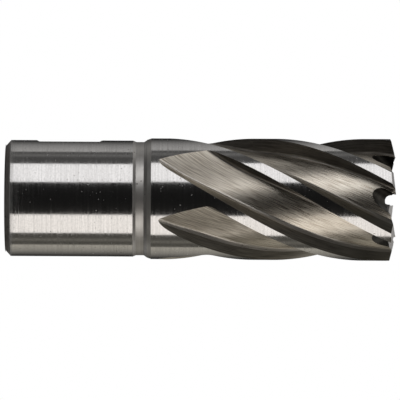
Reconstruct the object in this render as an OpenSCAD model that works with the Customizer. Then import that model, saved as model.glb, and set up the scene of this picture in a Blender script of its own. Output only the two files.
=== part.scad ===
// Annular cutter for a magnetic drill, high-speed steel, ground from one bar.
// Stands on its shank end, teeth up. Axis along Z, right-hand cut. Sizes in mm.

/* [Shank] */
// Shank diameter, the 3/4 inch size that a cutter holder takes
shank_d = 19.05; // [19:0.01:19.05]
// Height of the shank, from the end face to the neck
shank_h = 20.9; // [20:0.05:22]
// Chamfer at the end of the shank, along the axis
end_h = 0.85; // [0.5:0.05:1.5]
// Chamfer at the end of the shank, across
end_w = 0.95; // [0.5:0.05:1.5]

/* [Drive flats] */
// Depth of the flats below the shank
flat_depth = 1.5; // [1:0.1:2]
// Height at which the flats begin, on their floor
flat_from = 5.5; // [5:0.05:6.5]
// Length of the floor of the flats
flat_len = 9.9; // [8:0.1:11]
// Run of the sloped ends of the flats
flat_ramp = 0.9; // [0.5:0.1:1.2]
// Direction of the first flat, the second is a quarter turn back
flat_turn = 160; // [0:1:359]

/* [Neck] */
// Diameter of the neck groove
neck_d = 18.6; // [18.2:0.1:18.8]
// Length of the neck floor
neck_len = 1.3; // [0.8:0.1:1.8]
// Length of each groove wall
neck_wall = 0.5; // [0.3:0.1:0.6]
// Length of the lead chamfer on the body
lead_len = 0.7; // [0.4:0.1:1]
// Depth of the lead chamfer on the body
lead_depth = 0.24; // [0.1:0.02:0.4]

/* [Body] */
// Cutting diameter at the teeth
cut_d = 20; // [19.7:0.05:20.5]
// Loss of diameter from the teeth back to the neck
back_taper = 0.18; // [0.05:0.01:0.25]
// Overall length to the tips of the teeth
overall = 63.85; // [62:0.05:68]

/* [Bores] */
// Bore for the pilot pin, through the shank
pilot_d = 8; // [7:0.1:9]
// Chamfer at the mouth of the pilot bore
pilot_chamfer = 0.5; // [0.3:0.1:0.8]
// Bore that takes the slug
slug_d = 11; // [10.6:0.1:11.4]
// Depth of the slug bore below the tips
slug_depth = 32; // [28:0.5:36]
// Height of the cone at the foot of the slug bore
slug_cone = 0.6; // [0.4:0.1:1]

/* [Flutes] */
// Number of teeth, one flute in front of each
teeth = 6; // [6:1:6]
// Helix angle at the cutting diameter
helix = 30; // [28:0.5:32]
// Width of a land, round the rim
land_w = 1.9; // [1.6:0.1:2.4]
// Depth of the flutes at the cutting wall
flute_depth = 2.45; // [2.2:0.05:2.6]
// Depth of the flutes at the heel wall
heel_depth = 1.95; // [1.7:0.05:2.2]
// Run of the sloped heel wall, across the flute
heel_run = 1.2; // [0.8:0.1:1.6]
// Radius at the foot of the cutting wall
foot_r = 0.35; // [0.3:0.05:0.9]
// Radius of the grinding wheel that leaves the run-out
wheel_r = 90; // [70:1:110]
// Height at which a flute starts
flute_from = 25.05; // [24.5:0.05:27]
// Turn of the first cutting edge at the end face
edge_turn = 45.7; // [0:0.1:59.9]

/* [Teeth] */
// Radius of the tooth tips
tip_r = 7.6; // [7.2:0.1:7.8]
// Lead of the tip over the land's cutting edge, in degrees
tip_lead = 6.5; // [5:0.1:8]
// Slope of the outer facet
outer_slope = 12.5; // [8:0.5:16]
// Slope of the inner facet
inner_slope = 16; // [10:0.5:20]
// Relief behind the cutting edge
relief = 7; // [5:0.5:9]
// Width of the corner break on the outer corner
corner_w = 0.25; // [0.15:0.05:0.4]
// Depth of the gullet below the tip, at the radius of the tips
gullet_depth = 3.9; // [3.4:0.1:4.2]
// Radius of the bottom of the gullet
gullet_r = 1.65; // [1.3:0.05:1.8]
// Lean of the cutting face in the gullet
face_lean = 30; // [20:1:36]
// Lean of the gullet's far wall
back_lean = 43; // [35:1:46]
// Slope of the gullet's floor, down towards the outside
gullet_tilt = 40; // [30:1:45]
// Turn of the gullet out of the radius, the tooth leading towards the bore
gullet_skew = 26; // [15:1:28]

/* [Hidden] */
$fn = 96;
shank_r = shank_d / 2;
neck_r = neck_d / 2;
cut_r = cut_d / 2;
rear_r = cut_r - back_taper / 2;
flat_r = shank_r - flat_depth;
// heights up the neck
neck_z0 = shank_h + neck_wall;
neck_z1 = neck_z0 + neck_len;
neck_z2 = neck_z1 + neck_wall;
body_z = neck_z2 + lead_len;
// bores
pilot_r = pilot_d / 2;
slug_r = slug_d / 2;
slug_z = overall - slug_depth;
// the flute, laid out flat on the cutting diameter: s runs up the helix, t across it
pitch = 360 / teeth;
deg_mm = 180 / (PI * cut_r);
open_w = (pitch / deg_mm - land_w) * cos(helix);
floor_w = open_w - heel_run;
t_front = -floor_w / 2;
t_heel = floor_w / 2;
turn_rate = tan(helix) * deg_mm;
tool_top = cut_r + 2.2;
tool_rim = cut_r + 0.35;
tool_out = cut_r + 0.2;
// the wheel's bite along s, and how the floor rises across the flute
bite = 0.5 / wheel_r + pow(sin(helix), 2) / (2 * cut_r);
drift = sin(helix) * cos(helix) / (2 * cut_r * bite);
floor_rise = pow(cos(helix), 2) / (2 * cut_r) * (1 - pow(sin(helix), 2) / (2 * cut_r * bite));
floor_lift = (flute_depth - heel_depth) / floor_w;
function floor_bulge(t) = floor_rise * (t * t - t_front * t_front);
function floor_r(t) = cut_r - flute_depth + floor_lift * (t - t_front) + floor_bulge(t);
heel_r = floor_r(t_heel);
heel_slope = heel_run / (cut_r - heel_r);
// the heel wall rises from the edge of the floor to one line above the rim
rim_t = t_heel + heel_slope * (tool_rim - heel_r);
top_t = t_heel + heel_slope * (tool_top - heel_r);
// the run-out is placed so that its point lies at flute_from
tip_s = (flute_from + t_heel * sin(helix)) / cos(helix);
s_stop = tip_s + drift * t_heel + sqrt((rear_r - heel_r) / bite);
s_end = (overall + 4 + cut_r * sin(helix)) / cos(helix);
// columns across the flute: the foot of the cutting wall, then the floor
foot_n = 3;
floor_n = 3;
foot_a = [for (i = [0 : foot_n]) 90 * i / foot_n];
floor_t = [for (i = [1 : floor_n]) t_front + foot_r + (floor_w - foot_r) * i / floor_n];
col_t = concat([for (a = foot_a) t_front + foot_r * (1 - cos(a))], floor_t);
foot_up = [for (a = foot_a) foot_r * (1 - sin(a))];
floor_up = [for (t = floor_t) 0];
col_up = concat(foot_up, floor_up);
col_n = len(col_t);
// rows along the flute: the run-out, then the even part
out_n = 8;
even_n = 24;
row_n = out_n + even_n + 1;

// radius and place along s of column j in row i
function base_r(j) = floor_r(col_t[j]) + col_up[j];
function reach(j) = sqrt((tool_out - base_r(j)) / bite);
function s_deep(j) = s_stop - drift * col_t[j];
function q(i) = i < out_n ? 1 - i / out_n : 0;
function row_r(i, j) = base_r(j) + (tool_out - base_r(j)) * q(i) * q(i);
function even_s(i, j) = s_deep(j) + (s_end - s_deep(j)) * (i - out_n) / even_n;
function row_s(i, j) = i < out_n ? s_deep(j) - reach(j) * q(i) : even_s(i, j);
function wrap_a(s, t) = (s * sin(helix) + t * cos(helix)) * deg_mm;
function wrap_z(s, t) = s * cos(helix) - t * sin(helix);
function wrap(s, t, r) = [r * cos(wrap_a(s, t)), r * sin(wrap_a(s, t)), wrap_z(s, t)];
function front_at(i, r) = wrap(row_s(i, 0), t_front, r);
function heel_at(i, t, r) = wrap(row_s(i, col_n - 1), t, r);
function front_up(i) = [front_at(i, tool_top), front_at(i, tool_rim)];
function heel_up(i) = [heel_at(i, rim_t, tool_rim), heel_at(i, top_t, tool_top)];
function row_mid(i) = [for (j = [0 : col_n - 1]) wrap(row_s(i, j), col_t[j], row_r(i, j))];
function row(i) = concat(front_up(i), row_mid(i), heel_up(i));

// the angle of the cutting edge at the tips, and of the tips themselves
tip_turn = edge_turn + turn_rate * overall + tip_lead;
ref_turn = edge_turn - t_front / cos(helix) * deg_mm;

module turned() {
  rotate_extrude()
    polygon([
      [pilot_r + pilot_chamfer, 0],
      [shank_r - end_w, 0],
      [shank_r, end_h],
      [shank_r, shank_h],
      [neck_r, neck_z0],
      [neck_r, neck_z1],
      [rear_r - lead_depth, neck_z2],
      [rear_r, body_z],
      [cut_r, overall + 1],
      [slug_r, overall + 1],
      [slug_r, slug_z + slug_cone],
      [pilot_r, slug_z],
      [pilot_r, pilot_chamfer]
    ]);
}

module flat() {
  z1 = flat_from + flat_len;
  run = flat_ramp * (flat_depth + 1) / flat_depth;
  rotate([0, 0, flat_turn])
    rotate([90, 0, 0])
      linear_extrude(height = 3 * shank_d, center = true)
        polygon([
          [flat_r, flat_from],
          [flat_r, z1],
          [shank_r + 1, z1 + run],
          [shank_r + 1, flat_from - run]
        ]);
}

// one flute as the wheel leaves it, round-ended at the foot of the cutting wall
module flute() {
  n = col_n + 4;
  last = (row_n - 1) * n;
  hub = 2 + foot_n;
  pts = [for (i = [0 : row_n - 1]) each row(i)];
  skin = [
    for (i = [0 : row_n - 2], j = [0 : n - 1], k = [0, 1])
      let (a = i * n + j, b = i * n + (j + 1) % n)
        k == 0 ? [a, b, b + n] : [a, b + n, a + n]
  ];
  rim = [for (j = [hub + 1 : hub + n - 2]) [j % n, (j + 1) % n]];
  cap_low = [for (e = rim) [hub, e[1], e[0]]];
  cap_high = [for (e = rim) [last + hub, last + e[0], last + e[1]]];
  polyhedron(points = pts, faces = concat(skin, cap_low, cap_high), convexity = 6);
}

// the notch through the wall in front of a tooth, seen along its sloping floor
module gullet() {
  up = 5;
  c_z = gullet_r - gullet_depth;
  along = (-c_z - gullet_r * sin(face_lean)) / cos(face_lean);
  c_x = gullet_r * cos(face_lean) - along * sin(face_lean);
  arc_from = 180 - face_lean;
  arc_to = 360 - back_lean;
  arc = [
    for (i = [0 : 16])
      let (a = arc_from + (arc_to - arc_from) * i / 16)
        [c_x + gullet_r * cos(a), c_z + gullet_r * sin(a)]
  ];
  far = arc[16];
  rise = up - far[1];
  tops = [[far[0] + rise * tan(back_lean), up], [up * tan(face_lean), up]];
  outline = [for (v = concat(arc, tops)) [v[0], v[1] * cos(gullet_tilt)]];
  translate([tip_r, 0, overall])
    rotate([0, gullet_tilt, -gullet_skew])
      rotate([90, 0, 90])
        translate([0, 0, -5])
          linear_extrude(height = 9.5)
            polygon(outline);
}

// all that is ground away above one tooth: inner facet, outer facet, corner break
module tip_grind() {
  up = 4;
  near = 8.4;
  far = 51.5;
  corner_r = cut_r - corner_w;
  wide = cut_r + 3;
  p = [slug_r / 2, tip_r, corner_r, wide];
  h1 = -(corner_r - tip_r) * tan(outer_slope);
  h = [-(tip_r - p[0]) * tan(inner_slope), 0, h1, h1 - (wide - corner_r)];
  function low(i, a) = [p[i], p[i] * tan(a), overall + h[i] + p[i] * tan(a) * tan(relief)];
  function high(i, a) = [p[i], p[i] * tan(a), overall + up];
  pts = [
    low(0, near), low(1, near), low(2, near), low(3, near),
    low(0, -far), low(1, -far), low(2, -far), low(3, -far),
    high(0, near), high(3, near), high(0, -far), high(3, -far)
  ];
  polyhedron(
    points = pts,
    faces = [
      [0, 4, 5, 1], [1, 5, 6, 2], [2, 6, 7, 3],
      [8, 9, 11, 10],
      [0, 1, 2, 3, 9, 8],
      [3, 7, 11, 9],
      [7, 6, 5, 4, 10, 11],
      [4, 0, 8, 10]
    ],
    convexity = 4
  );
}

// the turned blank with its flats, gullets and ground tips
module blank() {
  difference() {
    turned();
    flat();
    rotate([0, 0, -90])
      flat();
    for (k = [0 : teeth - 1])
      rotate([0, 0, tip_turn + k * pitch])
        tip_grind();
    for (k = [0 : teeth - 1])
      rotate([0, 0, tip_turn + k * pitch])
        gullet();
  }
}

module cutter() {
  color([0.62, 0.61, 0.6])
    difference() {
      blank();
      for (k = [0 : teeth - 1])
        rotate([0, 0, ref_turn + k * pitch])
          flute();
    }
}

cutter();
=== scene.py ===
import bpy
import math
import numpy as np
from mathutils import Matrix, Vector


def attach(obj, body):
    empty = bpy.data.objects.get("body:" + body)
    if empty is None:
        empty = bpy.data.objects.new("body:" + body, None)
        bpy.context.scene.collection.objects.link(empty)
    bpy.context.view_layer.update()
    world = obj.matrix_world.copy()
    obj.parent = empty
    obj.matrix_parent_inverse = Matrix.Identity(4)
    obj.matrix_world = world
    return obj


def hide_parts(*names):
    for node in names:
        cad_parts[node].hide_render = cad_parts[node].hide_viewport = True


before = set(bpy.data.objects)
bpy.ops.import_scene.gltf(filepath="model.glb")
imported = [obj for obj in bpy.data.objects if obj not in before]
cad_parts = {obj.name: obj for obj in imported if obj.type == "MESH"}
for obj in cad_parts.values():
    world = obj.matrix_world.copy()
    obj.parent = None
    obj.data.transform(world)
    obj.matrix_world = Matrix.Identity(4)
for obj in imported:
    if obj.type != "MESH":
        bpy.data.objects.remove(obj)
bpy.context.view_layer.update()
MM = 0.001  # in metres
CM = 10  # in mm

# Sizes in mm, the same as the part's source.
shank_r, shank_h = 19.05 / 2, 20.9
end_h, end_w = 0.85, 0.95
flat_depth, flat_from, flat_len, flat_ramp, flat_turn = 1.5, 5.5, 9.9, 0.9, 160.0
neck_r, neck_len, neck_wall = 18.6 / 2, 1.3, 0.5
lead_len, lead_depth = 0.7, 0.24
cut_r, back_taper, overall = 20.0 / 2, 0.18, 63.85
pilot_r, pilot_chamfer = 8.0 / 2, 0.5
slug_r, slug_depth, slug_cone = 11.0 / 2, 32.0, 0.6
teeth, helix, land_w = 6, math.radians(30.0), 1.9
flute_depth, heel_depth, heel_run, foot_r, wheel_r = 2.45, 1.95, 1.2, 0.35, 90.0
flute_from, edge_turn = 25.05, 45.7
tip_r, tip_lead, corner_w = 7.6, 6.5, 0.25
tip_front, tip_back = 8.4, -51.5  # degrees from the cutting edge
outer_slope, inner_slope, relief = (math.radians(a) for a in (12.5, 16.0, 7.0))
gullet_depth, gullet_r = 3.9, 1.65
face_lean, back_lean = math.radians(30.0), math.radians(43.0)
gullet_tilt, gullet_skew = math.radians(40.0), math.radians(26.0)

# Small forms that only this script has.
edge_break = 0.07  # of the turned profile's corners
edge_part = 0.22  # of the heel wall's height, rounded into the floor

rear_r = cut_r - back_taper / 2
neck_z0 = shank_h + neck_wall
neck_z1 = neck_z0 + neck_len
neck_z2 = neck_z1 + neck_wall
body_z = neck_z2 + lead_len
slug_z = overall - slug_depth
SH, CH = math.sin(helix), math.cos(helix)
pitch = 360.0 / teeth
deg_mm = 180.0 / (math.pi * cut_r)

# The flute: s runs up the helix and t across it, from the cutting wall to the heel.
floor_w = (pitch / deg_mm - land_w) * CH - heel_run
t_front, t_heel = -floor_w / 2, floor_w / 2
tool_top, tool_rim, tool_out = cut_r + 2.2, cut_r + 0.35, cut_r + 0.2
bite = 0.5 / wheel_r + SH**2 / (2 * cut_r)
drift = SH * CH / (2 * cut_r * bite)
floor_rise = CH**2 / (2 * cut_r) * (1 - SH**2 / (2 * cut_r * bite))
floor_lift = (flute_depth - heel_depth) / floor_w
heel_r = cut_r - heel_depth
heel_slope = heel_run / (cut_r - heel_r)
rim_t = t_heel + heel_slope * (tool_rim - heel_r)
top_t = t_heel + heel_slope * (tool_top - heel_r)
edge_w = edge_part * (rim_t - t_heel)
tip_s = (flute_from + t_heel * SH) / CH
s_stop = tip_s + drift * t_heel + math.sqrt((rear_r - heel_r) / bite)
s_end = (overall + 4 + cut_r * SH) / CH
tip_turn = edge_turn + math.tan(helix) * deg_mm * overall + tip_lead
ref_turn = edge_turn - t_front / CH * deg_mm

# The surfaces, each with a material of its own.
ZONES = [
    "ground", "face", "skin", "neck", "bore", "flat",
    "wall", "flute", "heel", "gullet", "tip", "foot", "edge",
]
(
    GROUND, FACE, TURNED_PAINTED_SHADE, NECK, BORE, FLAT,
    WALL, FLUTE, HEEL, GULLET, TIP, FOOT, EDGE,
) = range(len(ZONES))


def material(name):
    m = bpy.data.materials.new(name)
    m.use_nodes = True
    m.node_tree.nodes.clear()
    return m


mats = [material("steel_" + z) for z in ZONES]


def solid(name, verts, faces, zones):
    """A closed mesh from points in mm, its faces counter-clockwise seen from outside."""
    me = bpy.data.meshes.new(name)
    me.from_pydata([tuple(float(c) * MM for c in v) for v in verts], [], faces)
    for m in mats:
        me.materials.append(m)
    me.polygons.foreach_set("material_index", np.asarray(zones, np.int32))
    me.update()
    ob = bpy.data.objects.new(name, me)
    bpy.context.scene.collection.objects.link(ob)
    return ob


def turned_blank(n=360, break_n=3, most=0.3):
    """The lathe-turned blank: the profile's corners are broken a little, by no more than a share
    of the sides that meet there, then it is revolved."""
    prof = [
        (pilot_r + pilot_chamfer, 0, FACE),
        (shank_r - end_w, 0, NECK),
        (shank_r, end_h, GROUND),
        (shank_r, shank_h, NECK),
        (neck_r, neck_z0, NECK),
        (neck_r, neck_z1, BORE),
        (rear_r - lead_depth, neck_z2, TURNED_PAINTED_SHADE),
        (rear_r, body_z, GROUND),
        (cut_r, overall + 1, BORE),
        (slug_r, overall + 1, BORE),
        (slug_r, slug_z + slug_cone, BORE),
        (pilot_r, slug_z, BORE),
        (pilot_r, pilot_chamfer, BORE),
    ]
    ring = []
    for i, (r, z, zone) in enumerate(prof):
        p = Vector((r, z))
        a, b = Vector(prof[i - 1][:2]), Vector(prof[(i + 1) % len(prof)][:2])
        before = prof[i - 1][2]
        da, db = (min(edge_break, (q - p).length * most) for q in (a, b))
        pa, pb = p + (a - p).normalized() * da, p + (b - p).normalized() * db
        for k in range(break_n + 1):
            u = k / break_n
            q = pa * (1 - u) ** 2 + p * 2 * u * (1 - u) + pb * u * u
            ring.append((q.x, q.y, zone if k else before))
    m = len(ring)
    verts, faces, zones = [], [], []
    for i in range(n):
        a = 2 * math.pi * i / n
        verts += [(r * math.cos(a), r * math.sin(a), z) for r, z, _ in ring]
    for i in range(n):
        for j in range(m):
            k, nxt = (j + 1) % m, ((i + 1) % n) * m
            faces.append((i * m + j, nxt + j, nxt + k, i * m + k))
            zones.append(ring[j][2])
    return solid("cutter_ground", verts, faces, zones)


def flat_tool(turn, over=1, half_w=25):
    """What is milled away for one drive flat, with a ramp at each end."""
    z1 = flat_from + flat_len
    run = flat_ramp * (flat_depth + over) / flat_depth
    inner, outer = shank_r - flat_depth, shank_r + over
    prof = [(inner, flat_from), (inner, z1), (outer, z1 + run), (outer, flat_from - run)]
    ca, sa = math.cos(math.radians(turn)), math.sin(math.radians(turn))
    verts = [(r * ca - w * sa, r * sa + w * ca, z) for w in (-half_w, half_w) for r, z in prof]
    faces = [(0, 1, 2, 3), (7, 6, 5, 4)]
    faces += [(4 + i, 4 + (i + 1) % 4, (i + 1) % 4, i) for i in range(4)]
    return solid("tool", verts, [f[::-1] for f in faces], [FLAT] * 6)


def flute_tool(k, foot_n=9, floor_n=15, edge_n=6, wall_n=5, out_n=44, even_n=110):
    """One flute as the wheel leaves it. The grid's rows run up the helix, first through the
    run-out and then at even depth; its columns go down the cutting wall, across the foot, the
    floor and the rounded edge, and up the heel wall."""
    a = np.linspace(0, math.pi / 2, foot_n + 1)
    t = np.concatenate([
        t_front + foot_r * (1 - np.cos(a)),
        np.linspace(t_front + foot_r, t_heel - edge_w, floor_n + 1)[1:],
        [t_heel],
    ])
    up = np.concatenate([foot_r * (1 - np.sin(a)), np.zeros(floor_n + 1)])
    base = cut_r - flute_depth + floor_rise * (t**2 - t_front**2) + floor_lift * (t - t_front) + up
    reach = np.sqrt((tool_out - base) / bite)
    deep = s_stop - drift * t
    q = np.concatenate([1 - np.arange(out_n) / out_n, np.zeros(even_n + 1)])[:, None]
    e = np.concatenate([np.zeros(out_n), np.arange(even_n + 1) / even_n])[:, None]
    r = base + (tool_out - base) * q * q
    s = np.where(q > 0, deep - reach * q, deep + (s_end - deep) * e)
    t = np.broadcast_to(t, r.shape)
    f = np.linspace(1, 0, wall_n + 1)[:-1][None, :]
    fr = r[:, :1] + (tool_rim - r[:, :1]) * f
    # The last column is the corner of floor and heel wall: a curve goes from one to the other.
    (r, rc), (s, sc), t = np.split(r, [-1], 1), np.split(s, [-1], 1), t[:, :-1]
    u = (np.arange(1, edge_n + 1) / edge_n)[None, :]
    er = r[:, -1:] * (1 - u) ** 2 + rc * 2 * u * (1 - u) + (rc + (tool_rim - rc) * edge_part) * u**2
    es = s[:, -1:] * (1 - u) ** 2 + sc * (1 - (1 - u) ** 2)
    g = (edge_part + (1 - edge_part) * np.arange(1, wall_n + 1) / wall_n)[None, :]
    hr = rc + (tool_rim - rc) * g
    top = np.full((len(r), 1), tool_top)
    before = np.full((len(r), wall_n + 1), t_front)
    after = [t_heel + edge_w * (2 * u - 1), t_heel + (rim_t - t_heel) * g, [[top_t]]]
    after = np.repeat(np.concatenate(after, 1), len(r), 0)
    cols_r = np.concatenate([top, fr, r, er, hr, top], 1)
    cols_t = np.concatenate([before, t, after], 1)
    cols_s = [np.repeat(s[:, :1], wall_n + 1, 1), s, es, np.repeat(sc, wall_n + 1, 1)]
    cols_s = np.concatenate(cols_s, 1)
    ang = (cols_s * SH + cols_t * CH) / cut_r + math.radians(ref_turn + k * pitch)
    pts = np.stack([cols_r * np.cos(ang), cols_r * np.sin(ang), cols_s * CH - cols_t * SH], -1)
    rows, n = pts.shape[:2]
    kind = [WALL] * (wall_n + 1) + [FOOT] * foot_n + [FLUTE] * floor_n
    kind += [EDGE] * edge_n + [HEEL] * (wall_n + 1) + [FLUTE]
    faces, zones = [], []
    for i in range(rows - 1):
        for j in range(n):
            p, b = i * n + j, i * n + (j + 1) % n
            faces += [(b + n, b, p), (p + n, b + n, p)]
            zones += [kind[j]] * 2
    # A fan closes each end.
    hub, last = wall_n + 1 + foot_n, (rows - 1) * n
    for j in range(hub + 1, hub + n - 1):
        x, y = j % n, (j + 1) % n
        faces += [(hub, x, y), (last + y, last + x, last + hub)]
        zones += [FLUTE] * 2
    return solid("tool", pts.reshape(-1, 3), faces, zones)


def gullet_tool(k, arc_n=40, top=5.0, inward=-5.0, outward=4.5):
    """The notch through the wall in front of a tooth, along its sloping floor."""
    c_z = gullet_r - gullet_depth
    along = (-c_z - gullet_r * math.sin(face_lean)) / math.cos(face_lean)
    c_x = gullet_r * math.cos(face_lean) - along * math.sin(face_lean)
    arc = np.linspace(math.pi - face_lean, 2 * math.pi - back_lean, arc_n + 1)
    out = [(c_x + gullet_r * math.cos(a), c_z + gullet_r * math.sin(a)) for a in arc]
    far = out[-1]
    out.append((far[0] + (top - far[1]) * math.tan(back_lean), top))
    out.append((top * math.tan(face_lean), top))
    place = (
        Matrix.Rotation(math.radians(tip_turn + k * pitch), 4, "Z")
        @ Matrix.Translation((tip_r, 0, overall))
        @ Matrix.Rotation(-gullet_skew, 4, "Z")
        @ Matrix.Rotation(gullet_tilt, 4, "Y")
    )
    n = len(out)
    steep = math.cos(gullet_tilt)
    verts = [place @ Vector((d, x, y * steep)) for d in (inward, outward) for x, y in out]
    faces = [tuple(range(n))[::-1], tuple(range(n, 2 * n))]
    faces += [(i, (i + 1) % n, n + (i + 1) % n, n + i) for i in range(n)]
    return solid("tool", verts, faces, [GULLET] * len(faces))


def tip_tool(k, over=3, above=4):
    """All that is ground away above one tooth: inner facet, outer facet, corner break."""
    corner_r, wide = cut_r - corner_w, cut_r + over
    p = [slug_r / 2, tip_r, corner_r, wide]
    h1 = -(corner_r - tip_r) * math.tan(outer_slope)
    h = [-(tip_r - p[0]) * math.tan(inner_slope), 0, h1, h1 - (wide - corner_r)]
    turn = Matrix.Rotation(math.radians(tip_turn + k * pitch), 4, "Z")
    sides = [math.tan(math.radians(a)) for a in (tip_front, tip_back)]
    fall = math.tan(relief)
    verts = [(x, x * w, overall + y + x * w * fall) for w in sides for x, y in zip(p, h)]
    verts += [(x, x * w, overall + above) for w in sides for x in (p[0], p[3])]
    faces = [
        (0, 4, 5, 1), (1, 5, 6, 2), (2, 6, 7, 3), (8, 9, 11, 10), (0, 1, 2, 3, 9, 8),
        (3, 7, 11, 9), (7, 6, 5, 4, 10, 11), (4, 0, 8, 10),
    ]
    return solid("tool", [turn @ Vector(v) for v in verts], [f[::-1] for f in faces], [TIP] * 8)


def cut(ob, tool):
    """Takes the tool's solid out of the object. New faces keep the tool's zones."""
    mod = ob.modifiers.new("cut", "BOOLEAN")
    mod.object = tool
    mod.operation = "DIFFERENCE"
    mod.solver = "MANIFOLD"
    bpy.context.view_layer.update()
    new = bpy.data.meshes.new_from_object(ob.evaluated_get(bpy.context.evaluated_depsgraph_get()))
    ob.modifiers.clear()
    old, ob.data = ob.data, new
    bpy.data.meshes.remove(old)
    bpy.data.meshes.remove(tool.data)


cutter = turned_blank()
for turn in (flat_turn, flat_turn - 90):
    cut(cutter, flat_tool(turn))
for k in range(teeth):
    cut(cutter, flute_tool(k))
    cut(cutter, tip_tool(k))
    cut(cutter, gullet_tool(k))
cutter.data.name = "cutter_ground"


def flute_steps(ang, z):
    """The whole number of flutes to turn by, so that a place comes nearest to the first one."""
    t = (ang - math.radians(ref_turn)) * cut_r * CH - z * SH
    mid = (t_front + t_heel + heel_run) / 2
    return np.round((mid - t) / (math.radians(pitch) * cut_r * CH))


def values(items, key, width, kind=float):
    got = np.empty(len(items) * width, kind)
    items.foreach_get(key, got)
    return got.reshape(-1, width) if width > 1 else got


def finish_surfaces(me):
    """True normals for each surface, and a UV map in cm that runs along its grinding marks."""
    npoly = len(me.polygons)
    face = np.repeat(np.arange(npoly), values(me.polygons, "loop_total", 1, np.int32))
    zone = values(me.polygons, "material_index", 1, np.int32)[face]
    fn = values(me.polygons, "normal", 3)[face]
    fc = values(me.polygons, "center", 3)[face] / MM
    p = values(me.vertices, "co", 3)[values(me.loops, "vertex_index", 1, np.int32)] / MM
    r, z = np.hypot(p[:, 0], p[:, 1]), p[:, 2]
    # Each corner's angle is counted from its face's, so that no face is torn at 180 degrees.
    fa = np.arctan2(fc[:, 1], fc[:, 0])
    ang = fa + np.angle(np.exp(1j * (np.arctan2(p[:, 1], p[:, 0]) - fa)))
    zero = np.zeros(len(face))
    out = np.stack([np.cos(ang), np.sin(ang), zero], -1)
    around = np.stack([-np.sin(ang), np.cos(ang), zero], -1) / r[:, None]
    upz = np.array([0.0, 0.0, 1.0])
    grad_s = cut_r * SH * around + CH * upz
    grad_t = cut_r * CH * around - SH * upz
    m = flute_steps(fa, fc[:, 2])
    a = (ang - math.radians(ref_turn) + m * math.radians(pitch)) * cut_r
    s, t = a * SH + z * CH, a * CH - z * SH

    nor = fn.copy()
    lathe = np.isin(zone, (GROUND, TURNED_PAINTED_SHADE, NECK, BORE))
    f_out = np.stack([np.cos(fa), np.sin(fa), zero], -1)
    side = (fn * f_out).sum(1)
    nor[lathe] = (out * side[:, None] + upz * fn[:, 2:3])[lathe]

    # The foot is upright where it meets the wall; its slope stops short of that.
    least = 0.0004
    tf = np.clip(t, t_front, t_heel)
    c = np.clip(1 - (tf - t_front) / foot_r, 0, 1)
    foot = np.where(c > 0, -c / np.sqrt(np.maximum(1 - c * c, least)), 0)
    out_run = np.maximum(s_stop - drift * t - s, 0)
    f_s = -2 * bite * out_run
    f_t = 2 * floor_rise * tf + floor_lift + foot - 2 * bite * out_run * drift
    n_floor = out - f_s[:, None] * grad_s - f_t[:, None] * grad_t
    heel_out = np.maximum(s_stop - drift * t_heel - s, 0)
    low = np.minimum(heel_r + bite * heel_out**2, tool_out)
    lean = (rim_t - t_heel) / (tool_rim - low)
    h_s = 2 * bite * heel_out * lean * (tool_rim - r) / (tool_rim - low)
    n_heel = lean[:, None] * out + h_s[:, None] * grad_s - grad_t
    n_floor /= np.linalg.norm(n_floor, axis=1)[:, None]
    n_heel /= np.linalg.norm(n_heel, axis=1)[:, None]
    w = np.clip((t - t_heel + edge_w) / (2 * edge_w), 0, 1)
    rise = np.hypot(edge_w, edge_part * (tool_rim - low))
    n_edge = n_floor * (edge_w * (1 - w))[:, None] + n_heel * (rise * w)[:, None]
    true = {FLUTE: n_floor, FOOT: n_floor, EDGE: n_edge, HEEL: n_heel, WALL: grad_t}
    for which, n in true.items():
        nor[zone == which] = n[zone == which]
    nor /= np.linalg.norm(nor, axis=1)[:, None]
    nor *= np.where((nor * fn).sum(1) < 0, -1.0, 1.0)[:, None]

    # The flutes lie apart on the map, so that no two have the same streaks.
    apart = 41.0 * m
    uv = np.stack([ang * r, z], -1)
    ways = (
        ((FLUTE, FOOT), (s, t + apart)),
        ((HEEL, WALL, EDGE), (s, r + apart)),
        ((FACE,), (ang * r, r)),
        ((FLAT,), (z, ang * r)),
        ((GULLET, TIP), (r, ang * r + z)),
    )
    for which, way in ways:
        here = np.isin(zone, which)
        uv[here] = np.stack(way, -1)[here]
    me.uv_layers.new(name="lay").data.foreach_set("uv", (uv / CM).astype(np.float32).ravel())
    me.polygons.foreach_set("use_smooth", np.ones(npoly, bool))
    me.normals_split_custom_set(nor.tolist())
    me.update()


finish_surfaces(cutter.data)


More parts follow.
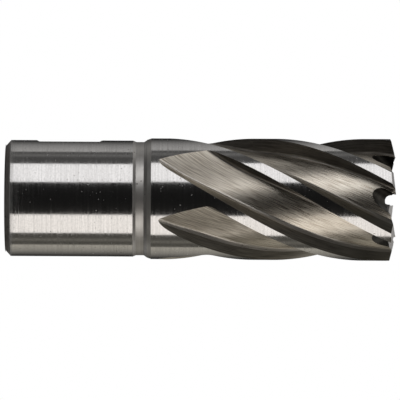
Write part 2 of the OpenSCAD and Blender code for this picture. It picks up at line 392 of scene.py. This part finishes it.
class Nodes:
    """Short calls for the nodes of one tree."""

    def __init__(self, tree):
        self.tree = tree

    def add(self, kind, **props):
        n = self.tree.nodes.new(kind)
        for k, v in props.items():
            setattr(n, k, v)
        return n

    def link(self, a, b):
        self.tree.links.new(a, b)

    def span(self, v, a, b, lo, hi):
        """A value's range from a to b, stretched to go from lo to hi."""
        n = self.add("ShaderNodeMapRange")
        for i, x in enumerate((a, b, lo, hi)):
            n.inputs[i + 1].default_value = x
        self.link(v, n.inputs[0])
        return n.outputs[0]

    def calc(self, op, *terms):
        n = self.add("ShaderNodeMath", operation=op)
        for i, x in enumerate(terms):
            if isinstance(x, float):
                n.inputs[i].default_value = x
            else:
                self.link(x, n.inputs[i])
        return n.outputs[0]

    def vector(self, op, a, b):
        n = self.add("ShaderNodeVectorMath", operation=op)
        self.link(a, n.inputs[0])
        self.link(b, n.inputs[1])
        return n.outputs[0]

    def mix(self, f, a, b):
        """Two colours mixed. The node's colour sockets are inputs 6 and 7 and output 2."""
        n = self.add("ShaderNodeMix", data_type="RGBA")
        self.link(f, n.inputs[0])
        for i, x in ((6, a), (7, b)):
            if isinstance(x, tuple):
                n.inputs[i].default_value = (*x, 1)
            else:
                self.link(x, n.inputs[i])
        return n.outputs[2]

    def ramp(self, v, stops, tint):
        """Tones of one tint, each at its place between 0 and 1."""
        n = self.add("ShaderNodeValToRGB")
        marks = n.color_ramp.elements
        while len(marks) < len(stops):
            marks.new(0.5)
        for mark, (at, tone) in zip(marks, stops):
            mark.position = at
            mark.color = (*(tone * c for c in tint), 1)
        self.link(v, n.inputs[0])
        return n.outputs[0]

    def camera_sees(self, shown, other, out_kind):
        """The tree's end: the camera sees one shader, and reflections the other."""
        mix, out = self.add("ShaderNodeMixShader"), self.add(out_kind)
        self.link(self.add("ShaderNodeLightPath").outputs["Is Camera Ray"], mix.inputs[0])
        self.link(other.outputs[0], mix.inputs[1])
        self.link(shown.outputs[0], mix.inputs[2])
        self.link(mix.outputs[0], out.inputs[0])


class Steel(Nodes):
    """The nodes of one steel surface."""

    def __init__(self, m):
        super().__init__(m.node_tree)
        self.bsdf = self.add("ShaderNodeBsdfPrincipled")
        self.link(self.bsdf.outputs[0], self.add("ShaderNodeOutputMaterial").inputs[0])

    def place(self, scale, uv=False):
        """Points of the surface, stretched: of the object in metres, or along its marks in cm."""
        if uv:
            src = self.add("ShaderNodeUVMap", uv_map="lay").outputs[0]
        else:
            src = self.add("ShaderNodeTexCoord").outputs["Object"]
        mp = self.add("ShaderNodeMapping")
        mp.inputs["Scale"].default_value = scale
        self.link(src, mp.inputs[0])
        return mp.outputs[0]

    def noise(self, at, detail, rough):
        n = self.add("ShaderNodeTexNoise")
        n.inputs["Scale"].default_value = 1.0
        n.inputs["Detail"].default_value = detail
        n.inputs["Roughness"].default_value = rough
        self.link(at, n.inputs["Vector"])
        return n.outputs["Fac"]

    def bump(self, h, dist, strength, under=None):
        n = self.add("ShaderNodeBump")
        n.inputs["Distance"].default_value = dist
        n.inputs["Strength"].default_value = strength
        self.link(h, n.inputs["Height"])
        if under is not None:
            self.link(under, n.inputs["Normal"])
        return n.outputs[0]

    def put(self, color, rough, normal):
        for name, x in (("Base Color", color), ("Roughness", rough), ("Normal", normal)):
            self.link(x, self.bsdf.inputs[name])
        self.bsdf.inputs["Metallic"].default_value = 1.0


def ground(m):
    """Ground and polished: faint rings from the wheel, fine grain, a few pits, a little dust."""
    n = Steel(m)
    rings = n.noise(n.place((90, 90, 5200)), detail=4.0, rough=0.7)
    pits = n.noise(n.place((2600, 2600, 2600)), detail=1.0, rough=0.5)
    cloud = n.noise(n.place((160, 160, 260)), detail=3.0, rough=0.6)
    grain = n.noise(n.place((3600, 3600, 4200)), detail=2.0, rough=0.7)
    specks = n.noise(n.place((2500, 2500, 2500)), detail=1.0, rough=0.5)
    dull, stain = (0.60, 0.59, 0.58), (0.20, 0.18, 0.16)
    tone = n.mix(n.span(cloud, 0.3, 0.7, 0.0, 1.0), (0.80, 0.79, 0.785), (0.88, 0.87, 0.865))
    tone = n.mix(n.span(rings, 0.35, 0.65, 0.0, 0.42), tone, dull)
    tone = n.mix(n.span(grain, 0.42, 0.66, 0.0, 0.42), tone, dull)
    tone = n.mix(n.span(pits, 0.74, 0.78, 0.0, 1.0), tone, stain)
    dust = n.span(specks, 0.755, 0.80, 0.0, 1.0)
    rough = n.span(rings, 0.35, 0.65, 0.07, 0.19)
    rough = n.calc("ADD", rough, n.calc("MULTIPLY", dust, 0.6))
    normal = n.bump(rings, 0.003 * MM, 0.35)
    n.put(tone, rough, n.bump(pits, 0.01 * MM, 0.2, normal))


def turned(m, low, high, r0, r1):
    """Turned with a tool: rings, duller and darker than the ground steel."""
    n = Steel(m)
    rings = n.noise(n.place((40, 40, 7000)), detail=3.0, rough=0.7)
    cloud = n.noise(n.place((500, 500, 500)), detail=3.0, rough=0.6)
    pits = n.noise(n.place((2200, 2200, 2200)), detail=1.0, rough=0.5)
    tone = n.mix(n.span(rings, 0.3, 0.7, 0.0, 1.0), low, high)
    tone = n.mix(n.span(cloud, 0.35, 0.75, 0.0, 0.3), tone, low)
    tone = n.mix(n.span(pits, 0.72, 0.77, 0.0, 0.8), tone, (0.06, 0.055, 0.05))
    n.put(tone, n.span(cloud, 0.3, 0.7, r0, r1), n.bump(rings, 0.01 * MM, 0.4))


# Where along the helix, in cm, the wheel lifts off and the heels go over to a painted shade; how
# dark it goes.
LIFT_FROM, LIFT_TO = 3.9, 5.0
SHADE_FROM, SHADE_TO, SHADE_MOST = 5.4, 6.8, 0.65


def wheel_cut(m, low, high, r0, r1, depth, painted_shade=None, run_out=0.0):
    """Cut by a grinding wheel: streaks along the flute, so many mm deep, which spread the light
    across it. With painted_shade it goes over to that tone on the way to the teeth, a painted
    shade;
    with run_out it is so much rougher where the wheel lifts off."""
    n = Steel(m)
    fine = n.noise(n.place((2.6, 62, 1), True), detail=2.0, rough=0.6)
    coarse = n.noise(n.place((1.4, 20, 1), True), detail=3.0, rough=0.6)
    cloud = n.noise(n.place((220, 220, 220)), detail=3.0, rough=0.6)
    streak = n.calc("ADD", n.calc("MULTIPLY", fine, 0.75), n.calc("MULTIPLY", coarse, 0.25))
    tone = n.mix(n.span(streak, 0.40, 0.58, 0.0, 1.0), low, high)
    tone = n.mix(n.span(cloud, 0.4, 0.75, 0.0, 0.25), tone, low)
    rough = n.span(streak, 0.3, 0.7, r0, r1)
    way = n.add("ShaderNodeSeparateXYZ")
    n.link(n.place((1, 1, 1), True), way.inputs[0])
    if painted_shade:
        # Towards the teeth the tone goes over to a darker one: a painted shade.
        tone = n.mix(n.span(way.outputs[0], SHADE_FROM, SHADE_TO, 0.0, SHADE_MOST), tone, painted_shade)
    if run_out:
        rough = n.calc("ADD", rough, n.span(way.outputs[0], LIFT_FROM, LIFT_TO, run_out, 0.0))
    n.put(tone, rough, n.bump(streak, depth * MM, 0.6))
    along = n.add("ShaderNodeTangent", direction_type="UV_MAP", uv_map="lay")
    n.link(along.outputs[0], n.bsdf.inputs["Tangent"])
    n.bsdf.inputs["Anisotropic"].default_value = 0.5
    n.bsdf.inputs["Anisotropic Rotation"].default_value = 0.25


# Each surface's dark and light tone and its least and most roughness.
ground(mats[GROUND])
turned(mats[FACE], (0.50, 0.49, 0.48), (0.64, 0.63, 0.62), 0.25, 0.4)
# The lead chamfer is turned, and its tone is darker still as a painted shade of a face that looks
# down.
turned(mats[TURNED_PAINTED_SHADE], (0.40, 0.39, 0.375), (0.55, 0.54, 0.52), 0.32, 0.45)
turned(mats[NECK], (0.62, 0.605, 0.585), (0.78, 0.76, 0.735), 0.37, 0.47)
turned(mats[BORE], (0.30, 0.29, 0.28), (0.44, 0.43, 0.42), 0.4, 0.5)
wheel_cut(mats[FLAT], (0.50, 0.49, 0.48), (0.66, 0.65, 0.64), 0.25, 0.36, 0.01)
# The cutting wall's very dark tone is a painted shade: the wall faces away from the light.
wheel_cut(mats[WALL], (0.11, 0.103, 0.093), (0.20, 0.188, 0.172), 0.3, 0.42, 0.01)
# The foot's dark tone is a painted shade in the corner under the cutting wall.
wheel_cut(mats[FOOT], (0.22, 0.203, 0.18), (0.40, 0.375, 0.34), 0.32, 0.44, 0.02)
wheel_cut(mats[FLUTE], (0.50, 0.443, 0.37), (1.0, 0.94, 0.83), 0.24, 0.34, 0.03, run_out=0.10)
# The edge goes darker towards the teeth: a painted shade.
wheel_cut(
    mats[EDGE], (0.76, 0.71, 0.64), (1.0, 0.95, 0.87), 0.26, 0.36, 0.01, painted_shade=(0.2, 0.19, 0.165)
)
# The heel goes darker towards the teeth: a painted shade.
wheel_cut(
    mats[HEEL], (0.32, 0.294, 0.247), (0.52, 0.48, 0.408), 0.26, 0.36, 0.01,
    painted_shade=(0.13, 0.125, 0.105),
)
# The gullet's near-black tone is a painted shade inside the notch.
wheel_cut(mats[GULLET], (0.035, 0.033, 0.028), (0.08, 0.074, 0.064), 0.4, 0.55, 0.01)
wheel_cut(mats[TIP], (0.46, 0.44, 0.42), (0.62, 0.60, 0.58), 0.22, 0.34, 0.008)

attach(cutter, "root")
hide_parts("cutter")


def stage_face(name, verts, shade=None):
    """One face of the surroundings: white to the camera, grey in reflections. With shade it has
    a contact shadow that reaches so far."""
    m = material(name)
    n = Nodes(m.node_tree)
    grey, white = n.add("ShaderNodeBsdfDiffuse"), n.add("ShaderNodeEmission")
    grey.inputs[0].default_value = (0.45, 0.45, 0.45, 1)
    if shade:
        near = n.add("ShaderNodeAmbientOcclusion", samples=16)
        near.inputs["Distance"].default_value = shade
        n.link(near.outputs["Color"], white.inputs[0])
    n.camera_sees(white, grey, "ShaderNodeOutputMaterial")
    me = bpy.data.meshes.new(name)
    me.from_pydata(verts, [], [tuple(range(len(verts)))])
    me.materials.append(m)
    ob = bpy.data.objects.new(name, me)
    bpy.context.scene.collection.objects.link(ob)
    return ob


# A small round floor, just below the cutter's end, and a backdrop behind.
floor_rim, floor_gap, floor_shade = 34 * MM, 0.02 * MM, 0.25 * MM
turns = [math.radians(a) for a in range(0, 360, 3)]
rim = [(floor_rim * math.cos(a), floor_rim * math.sin(a), 0) for a in turns]
floor = stage_face("floor", rim, floor_shade)
floor.location.z = -floor_gap
back_x, back_y, back_low, back_high = 0.075, 0.8, -0.045, 0.105
corners = ((-back_x, back_low), (back_x, back_low), (back_x, back_high), (-back_x, back_high))
stage_face("backdrop", [(x, back_y, z) for x, z in corners])

# Two soft boxes, one on each side of the camera, and a lamp above.
mid_z = overall / 2 * MM
soft_height, soft_far, soft_level = 0.5, 0.6, 0.95
top_size, top_z = 0.3, 0.55


def soft_box(name, off, width, tint):
    lamp = bpy.data.lights.new(name, "AREA")
    lamp.shape = "RECTANGLE"
    lamp.size, lamp.size_y = width, soft_height
    lamp.color = tint
    lamp.energy = soft_level * math.pi * width * soft_height
    ob = bpy.data.objects.new(name, lamp)
    a = math.radians(off)
    at = Vector((math.sin(a) * soft_far, -math.cos(a) * soft_far, mid_z))
    ob.location = at
    ob.rotation_euler = (Vector((0, 0, mid_z)) - at).to_track_quat("-Z", "Y").to_euler()
    bpy.context.scene.collection.objects.link(ob)


soft_box("soft_left", -52.0, 0.437, (1.0, 0.99, 0.99))
soft_box("soft_right", 52.4, 0.4415, (1.0, 0.955, 0.91))
lamp = bpy.data.lights.new("top", "AREA")
lamp.size = top_size
lamp.energy = math.pi * top_size * top_size
top = bpy.data.objects.new("top", lamp)
top.location = (0, 0, top_z)
bpy.context.scene.collection.objects.link(top)

# The room that the steel reflects.
world = bpy.data.worlds.new("room")
bpy.context.scene.world = world
world.use_nodes = True
world.node_tree.nodes.clear()
n = Nodes(world.node_tree)
part = n.add("ShaderNodeSeparateXYZ")
n.link(n.add("ShaderNodeTexCoord").outputs["Generated"], part.inputs[0])
x, y, z = part.outputs
room_tint = (1, 0.985, 0.965)

# Dark where the camera stands, grey at the sides, pale past them, and dark again behind.
tones = n.ramp(n.span(y, -1.0, 1.0, 0.0, 1.0), [
    (0.0, 0.008), (0.065, 0.012), (0.08, 0.066), (0.5, 0.068), (0.63, 0.078), (0.645, 0.39),
    (0.725, 0.325), (0.82, 0.235), (0.915, 0.092), (0.955, 0.035), (1.0, 0.012),
], room_tint)

# A thin pale line across each side, a little farther back on the left.
line_at = n.calc("MULTIPLY_ADD", x, 0.035, y)
line_stops = [(0.47, 0.0), (0.525, 0.085), (0.58, 0.0)]
line = n.ramp(n.span(line_at, -1.0, 1.0, 0.0, 1.0), line_stops, room_tint)
tones = n.vector("ADD", tones, line)

# The right side is a little warmer. Behind the cutter it is pale high up and low down.
tones = n.vector("MULTIPLY", tones, n.mix(x, (1, 1, 1), (1.02, 0.98, 0.86)))
high = n.span(n.calc("ABSOLUTE", z), 0.3, 0.5, 0.0, 1.0)
behind = n.span(y, 0.1, 0.4, 0.0, 1.0)
tones = n.mix(n.calc("MULTIPLY", high, behind), tones, (0.55, 0.545, 0.535))
room, white = n.add("ShaderNodeBackground"), n.add("ShaderNodeBackground")
n.link(tones, room.inputs[0])
white.inputs[0].default_value = (1, 1, 1, 1)
n.camera_sees(white, room, "ShaderNodeOutputWorld")

# The camera: a metre away, turned so that the cutter lies across the picture. In mm.
sensor, cam_far, view_w = 36, 1000, 65.69
cam_x, cam_z = 0.15, 31.88
roll = math.radians(0.31)
cam = bpy.data.cameras.new("camera")
cam.sensor_width = sensor
cam.lens = sensor * cam_far / view_w
eye = bpy.data.objects.new("camera", cam)
right0, up0 = Vector((0, 0, 1)), Vector((-1, 0, 0))
right = right0 * math.cos(roll) + up0 * math.sin(roll)
up = up0 * math.cos(roll) - right0 * math.sin(roll)
rot = Matrix((right, up, right.cross(up))).transposed()
eye.matrix_world = Matrix.Translation((cam_x * MM, -cam_far * MM, cam_z * MM)) @ rot.to_4x4()
bpy.context.scene.collection.objects.link(eye)
bpy.context.scene.camera = eye
bpy.context.scene.view_settings.view_transform = "Standard"
